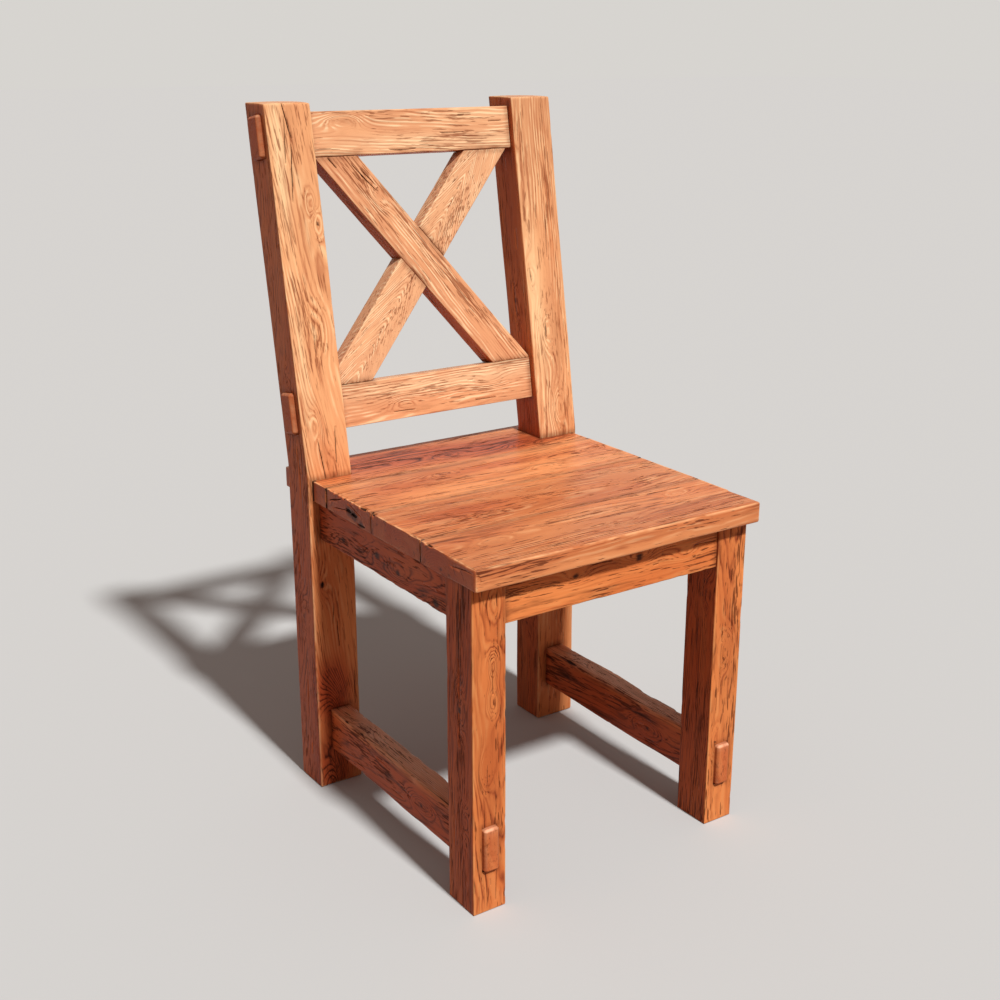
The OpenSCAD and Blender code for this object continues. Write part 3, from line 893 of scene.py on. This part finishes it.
def rear_posts():
    settings = {
        "left": dict(
            seed=11, pith=(48, 42), tilt=(0.085, 0.02),
            knots=[((772, 56, 0), 9, 7, 1.6), ((796, 50, 0), -8, 6, 1.0),
                   ((640, 44, 2), 8, 13, 1.2), ((302, 15, 2), -9, 9, 3.5),
                   ((98, 24, 0), 31, 20, 0.6), ((-8, 24, 0), 31, 20, 0.6),
                   ((470, 44, 4), 6, 9, 1.5), ((560, 3, 30), 14, 10, 2.0),
                   ((250, 0, 30), 14, 11, 2.6), ((520, 22, 0), 9, 8, 0.8)],
            cracks=[("-w", 876, 50, 29, 3.4, 9, -9), ("-w", 846, 60, 24, 2.2, 7, 5),
                    ("-w", 800, 70, 29, 2.8, 8, 7), ("-w", 446, 56, 24, 2.8, 8, -6),
                    ("-w", 466, 50, 46, 2.2, 7, 5), ("-w", 204, 46, 36, 2.4, 7, -4),
                    ("-w", 240, 34, 30, 2.0, 6, 4), ("-w", 112, 56, 58, 2.2, 6),
                    ("-v", 400, 95, 22, 2.4, 7, 3), ("-v", 300, 60, 36, 2.0, 6, 3),
                    ("-v", 90, 80, 28, 2.0, 6, -4)],
            lumps=[((302, 15.3, 0.2), (6, 2.2, 2.6))],
            stains=[((860, 14, 0), (90, 8, 12), 2.4), ((600, 12, 0), (90, 7, 12), 1.2),
                    ((145, 24, 0), (45, 26, 12), -1.6), ((28, 24, 0), (45, 26, 12), -1.6)]),
        "right": dict(
            seed=23, pith=(-56, 60), tilt=(0.01, 0.02),
            knots=[((678, 8, 2), 9, 8, 2.0), ((600, 27, 3), 14, 12, 2.0),
                   ((490, 36, 3), 12, 11, 1.0), ((640, 0, 35), 14, 11, 3.0),
                   ((400, 30, 5), 10, 12, 1.5), ((150, 0, 30), 14, 12, 2.6)],
            cracks=[("-w", 586, 30, 26, 2.4, 6), ("-w", 668, 22, 8, 2.2, 6),
                    ("-v", 618, 50, 36, 2.4, 7), ("-w", 700, 60, 40, 1.6, 5, 5)],
            stains=[((640, 13, 0), (110, 12, 14), 1.5), ((470, 20, 0), (40, 14, 14), 0.8),
                    ((760, 50, 0), (120, 5, 14), -0.6)]),
    }
    for side, options in settings.items():
        node = "rear_post_" + side
        axes = PostAxes(node)
        counts = {"-v": 9, "+v": 9, "+w": 12, "-w": 4}
        options["cracks"] += small_checks(*extent(node, axes), options["seed"], counts)
        timber(node, POST, axes, crown_mm=1.2, round_mm=1.6, **options)


def front_legs():
    settings = {
        "left": dict(
            seed=31,
            knots=[((322, 29, 1), 15, 8, 1.2), ((262, 0, 29), 24, 12, 3.0),
                   ((276, 29, 1), 16, 8, 1.2), ((400, 30, 3), 9, 9, 1.2),
                   ((120, 0, 20), 18, 9, 2.0), ((190, 18, 0), -12, 9, 1.0)],
            cracks=[("-w", 10, 46, 33, 1.4, 5, 3), ("-v", 214, 46, 29, 2.2, 7),
                    ("-v", 262, 66, 28, 2.0, 6, 2), ("-w", 284, 40, 28, 1.3, 4)]),
        "right": dict(
            seed=43,
            knots=[((250, 22, 1), 14, 10, 1.8), ((330, 0, 20), 14, 11, 2.5),
                   ((120, 12, 0), -10, 9, 1.0)],
            cracks=[("-w", 190, 70, 14, 1.1, 4, 2)]),
    }
    for side, options in settings.items():
        node = "front_leg_" + side
        axes = Axes(Z, X, Y)
        counts = {"-v": 6, "+v": 6, "+w": 5, "-w": 3}
        options["cracks"] += small_checks(*extent(node, axes), options["seed"], counts)
        timber(node, LEG, axes, pith=(9, 60), tilt=(0.01, 0.03), **options)


def tenon_corners(body_low, body_high, tip, inside):
    """The corners of a through tenon's block: from inside the timber out to its tip, and a step
    smaller all round than the timber, as the CAD's is."""
    step = np.array([0, *(THROUGH_STEP,) * 2])
    low, high = body_low + step, body_high - step
    low[0], high[0] = sorted((tip, inside))
    return low, high


def back_rails():
    settings = {
        "top_rail": dict(
            seed=51, pith=(58, 56), tilt=(0.02, 0.02), knots=[((112, 44, 0), 15, 10, 1.0)],
            stains=[((280, 14, 0), (180, 11, 20), 1.1), ((330, 46, 0), (90, 9, 20), 0.5)]),
        "lower_back_rail": dict(
            seed=61, pith=(-54, 54), tilt=(0.02, 0.03),
            knots=[((160, 22, 2), -9, 8, 0.8), ((300, 34, 2), 6, 10, 0.8)],
            stains=[((230, 42, 0), (170, 11, 20), 1.2)]),
    }
    for node, options in settings.items():
        axes = back_axes(1, 0)
        low, high = extent(node, axes)
        post_low, post_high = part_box("rear_post_right")
        tenons, body_low, body_high = [], low.copy(), high.copy()
        for tip in (low[0], high[0]):
            side = math.copysign(1, tip)
            tenons.append(tenon_corners(low, high, tip, side * (post_low.x - TENON_ROOT)))
        body_low[0], body_high[0] = -post_high.x + BODY_END, post_high.x - BODY_END
        cracks = small_checks(low, high, options["seed"], {"-w": 5, "+w": 8, "+v": 3, "-v": 3})
        timber(node, BACK, axes, low=body_low, high=body_high, tenons=tenons, cracks=cracks,
               ends=False, **options)


def crossed_braces():
    settings = {
        "back_brace_full": dict(
            seed=71, pith=(46, 50), tilt=(0.03, 0.02), knots=[((330, 20, 2), 8, 8, 1.2)],
            cracks=[("-w", 334, 52, 15, 2.6, 7, 3), ("-w", 338, 34, 10, 1.8, 6, 3),
                    ("-w", 394, 20, 36, 2.4, 6)]),
        "back_brace_lapped": dict(
            seed=83, pith=(0, -12), tilt=(-0.02, 0.0), taper=0.31, pale=1.35, cracks=[]),
    }
    for node, options in settings.items():
        axes = brace_axes(node)
        counts = {"-w": 6, "+w": 6, "+v": 2, "-v": 2}
        options["cracks"] += small_checks(*extent(node, axes), options["seed"], counts)
        timber(node, BACK, axes, **options)


def seat_board_settings(top):
    """What sets each board apart. short is how far, in mm, its left end stops before the
    seat's, and top is how high its top face is over its underside."""
    return {
        "front": dict(
            seed=91, short=0.0, pith=(10, -36), tilt=(0.02, 0.03), sides=(1.9, 0.25),
            knots=[((70, 70, top), 10, 9, 0.5), ((240, 40, top), -9, 9, 0.5),
                   ((360, 85, top), 11, 9, 0.5)],
            stains=[((60, 95, top), (120, 22, 20), -0.8), ((300, 60, top), (90, 20, 20), -0.5)],
            lumps=[((0, 98, 27.5), (3.5, 11, 2.4)), ((0, 22, 28), (2.5, 15, 1.8))],
            cracks=[("-u", 6, 46, 20, 2.0, 9, -4)]),
        "second": dict(
            seed=103, short=0.7, pith=(-20, -30), tilt=(0.03, 0.05), sides=(0.25, 0.25),
            knots=[((120, 35, top), 10, 9, 0.5), ((215, 75, top), 12, 10, 1.2),
                   ((345, 50, top), 12, 10, 1.0)],
            stains=[((90, 60, top), (110, 26, 20), -0.9), ((330, 20, top), (70, 14, 20), -0.6)],
            lumps=[((0, 20, 28), (2.5, 10, 1.6)), ((0, 70, 28.4), (2.5, 14, 1.6)),
                   ((0, 112, 28), (5, 6, 3.5))],
            cracks=[]),
        "third": dict(
            seed=113, short=1.3, pith=(12, -28), tilt=(0.01, -0.04), sides=(0.25, 0.25),
            knots=[((160, 90, top), -10, 9, 0.5), ((290, 45, top), 12, 11, 1.0),
                   ((390, 70, top), 10, 9, 0.5), ((0, 58, 14), 10, 12, 8), ((0, 42, 11), 10, 12, 8),
                   ((0, 26, 4), 5, 9, 6)],
            stains=[((60, 60, top), (90, 40, 20), -0.7), ((250, 80, top), (110, 18, 20), -1.0)],
            lumps=[((0, 58, 14), (2.4, 8, 2.4)), ((0, 44, 12), (2.8, 8, 2.6)),
                   ((0, 20, 28.5), (6, 12, 4.2)), ((0, 26, 3), (1.8, 11, 1.5)),
                   ((0, 104, 28.6), (3, 5, 2)), ((0, 93, 28.6), (4.5, 6, 2.6)),
                   ((0, 80, 28.6), (3.5, 5, 2)), ((0, 70, 28.6), (5, 7, 2.8)),
                   ((0, 57, 28.6), (4, 6, 2.2)), ((0, 46, 28.6), (5, 5, 3)),
                   ((0, 36, 28.6), (3, 5, 2))],
            cracks=[("-u", 24, 34, 19, 2.4, 8, 9), ("-u", 60, 40, 10, 2.0, 7, -8),
                    ("-u", 74, 26, 21, 2.2, 7, -9), ("-u", 88, 24, 18, 2.2, 7, -9)]),
        "rear": dict(
            seed=127, short=0.4, pith=(-8, -33), tilt=(-0.03, 0.03), sides=(0.25, 1.0),
            knots=[((210, 40, top), 10, 9, 0.5), ((330, 30, top), 10, 10, 0.5)],
            stains=[((120, 70, top), (130, 50, 20), -1.6), ((310, 40, top), (110, 40, 20), -1.2)],
            lumps=[], cracks=[]),
    }


def seat_boards():
    for name, options in seat_board_settings(top=28).items():
        node = "seat_board_" + name
        axes = Axes(X, Y, Z)
        low, high = extent(node, axes)
        short = options.pop("short")
        low[0] += short * MM
        high[0] -= (1.3 - short) * 0.6 * MM
        width = (high[1] - low[1]) / MM
        corners = [((0, across, 15), (6, 1.6, 18)) for across in (0, width)]
        options["lumps"] = corners + options["lumps"]
        options["cracks"] += small_checks(low, high, options["seed"], {"+w": 10, "-w": 6})
        timber(node, SEAT, axes, low=low, high=high, round_mm=1.5, seam=1.0, **options)


def aprons():
    along_x = Axes(X, Y, Z)
    along_y = Axes(Y, X, Z)
    settings = {
        "front_apron": dict(
            seed=131, axes=along_x, pith=(30, -30), tilt=(0.04, 0.03),
            knots=[((120, 0, 36), 9, 8, 3.5), ((215, 0, 40), 10, 9, 4.5),
                   ((290, 0, 30), 8, 8, 2.5)]),
        "rear_apron": dict(seed=137, axes=along_x, pith=(-30, 30), tilt=(0.03, 0.03)),
        "side_apron_left": dict(
            seed=139, axes=along_y, pith=(34, 10), tilt=(0.06, 0.02),
            knots=[((280, 0, 19), 7, 11, 4.2), ((191, 0, 25), 8, 12, 5.0),
                   ((141, 0, 19), -6, 11, 4.0), ((54, 0, 9), 7, 11, 5.0)],
            lumps=[((30, 0, 1), (22, 3, 2.2)), ((78, 0, 0.5), (14, 3, 2.0)),
                   ((118, 0, 0), (20, 3.5, 2.0)), ((160, 0, 0.5), (12, 2.5, 1.8)),
                   ((205, 0, 0), (24, 3, 1.8))]),
        "side_apron_right": dict(
            seed=149, axes=along_y, pith=(-34, 10), tilt=(0.06, 0.02),
            knots=[((110, 38, 30), 16, 12, 3.5), ((240, 38, 20), 14, 11, 3.0)]),
    }
    for node, options in settings.items():
        axes = options.pop("axes")
        in_front = node == "front_apron"
        counts = {"-v": 3 if in_front else 9, "+v": 7, "-w": 6}
        cracks = small_checks(*extent(node, axes), options["seed"], counts)
        timber(node, LEG if in_front else FRAME, axes, cracks=cracks, ends=False, **options)


def stretchers():
    axes = Axes(Y, X, Z)
    for side, seed in (("left", 151), ("right", 163)):
        node = "stretcher_" + side
        low, high = extent(node, axes)
        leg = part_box("front_leg_" + side)
        inset = np.array([0, TENON_SIDE, THROUGH_STEP])
        tenon_low, tenon_high = low + inset, high - inset
        tenon_high[0] = leg[1].y + TENON_ROOT
        body_low = low.copy()
        body_low[0] = leg[0].y + BODY_END
        cracks = small_checks(low, high, seed, {"-v": 9, "+v": 9, "-w": 4, "+w": 8})
        timber(node, FRAME, axes, seed, low=body_low, tenons=[(tenon_low, tenon_high)],
               pith=(70, 8), tilt=(0.03, 0.05), cracks=cracks, ends=False, wear=2.4, round_mm=2.2,
               # A paler top along the stretcher: wear, and painted light from the sky
               stains=[((200, 20, 62), (190, 30, 8), 3.0)],
               knots=[((300, 20, 62), 14, 11, 2.0), ((130, 0, 30), 16, 12, 3.0),
                      ((240, 44, 30), 14, 11, 2.5)])


def cleats_and_screws():
    for side, seed in (("left", 173), ("right", 181)):
        timber("seat_cleat_" + side, FRAME, Axes(Y, X, Z), seed, pith=(10, 30))
    for node in ("seat_screws", "cleat_screws"):
        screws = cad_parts[node]
        screws.data.materials.clear()
        screws.data.materials.append(SCREW)


# ---- Floor, light and camera ----

# The floor and the world: what they throw at the chair, and how they look behind it
FLOOR_LIT, FLOOR_SEEN = (0.30, 0.21, 0.17, 1), (0.59, 0.602, 0.606, 1)
WORLD_LIT, WORLD_SEEN = (0.245, 0.198, 0.176, 1), (0.68, 0.66, 0.63, 1)
SUN_STRENGTH, SUN_COLOUR = 3.65, (1.0, 0.985, 0.96)
SUN_TURN, SUN_RISE, SUN_ANGLE = 1, 51, 4.5  # degrees: round, up, and how wide the sun is
VIEW_TURN, VIEW_RISE = -34.1, 18.3  # degrees: where the camera stands
LENS_MM, DISTANCE = 50, 1.818
AIM = (-0.009, -0.0085, -0.037)  # what the camera looks at, from the middle of the chair


def background_seen(n):
    """1 for the rays that show the background: the camera's, and those that glossy or clear
    things send on."""
    path = n.add("ShaderNodeLightPath")
    clear = n.math("MAXIMUM", path.outputs["Is Glossy Ray"], path.outputs["Is Transmission Ray"])
    return n.math("MAXIMUM", path.outputs["Is Camera Ray"], clear)


def floor():
    """A plain floor. The camera sees it pale, but it throws less light back at the chair."""
    bpy.ops.mesh.primitive_plane_add(size=60, location=(0, 0, -0.0002))
    ground = bpy.context.object
    ground.name = "floor"
    material, shader = new_material("floor")
    n = Nodes(material.node_tree)
    n.link(n.mix(background_seen(n), FLOOR_LIT, FLOOR_SEEN), shader.inputs["Base Color"])
    shader.inputs["Roughness"].default_value = 0.8
    shader.inputs["Specular IOR Level"].default_value = 0.0
    ground.data.materials.append(material)


def spherical(turn, rise):
    """The direction that lies so many degrees round from straight in front, and so many up."""
    turn, rise = math.radians(turn), math.radians(rise)
    flat = math.cos(rise)
    return Vector((math.sin(turn) * flat, -math.cos(turn) * flat, math.sin(rise)))


def lights():
    data = bpy.data.lights.new("key", "SUN")
    data.energy = SUN_STRENGTH
    data.angle = math.radians(SUN_ANGLE)
    data.color = SUN_COLOUR
    sun = new_object("key", data)
    sun.rotation_euler = (-spherical(SUN_TURN, SUN_RISE)).to_track_quat("-Z", "Y").to_euler()
    world = bpy.data.worlds.new("studio")
    bpy.context.scene.world = world
    world.use_nodes = True
    n = Nodes(world.node_tree)
    back = world.node_tree.nodes["Background"]
    n.link(n.mix(background_seen(n), WORLD_LIT, WORLD_SEEN), back.inputs["Color"])
    back.inputs["Strength"].default_value = 1.0


def camera():
    data = bpy.data.cameras.new("camera")
    data.lens = LENS_MM
    made = new_object("camera", data)
    target = (cad_low + cad_high) / 2 + Vector(AIM)
    made.location = target + DISTANCE * spherical(VIEW_TURN, VIEW_RISE)
    made.rotation_euler = (math.pi / 2 - math.radians(VIEW_RISE), 0, math.radians(VIEW_TURN))
    bpy.context.scene.camera = made


rear_posts()
front_legs()
back_rails()
crossed_braces()
seat_boards()
aprons()
stretchers()
cleats_and_screws()
floor()
lights()
camera()
bpy.context.scene.view_settings.view_transform = "Standard"
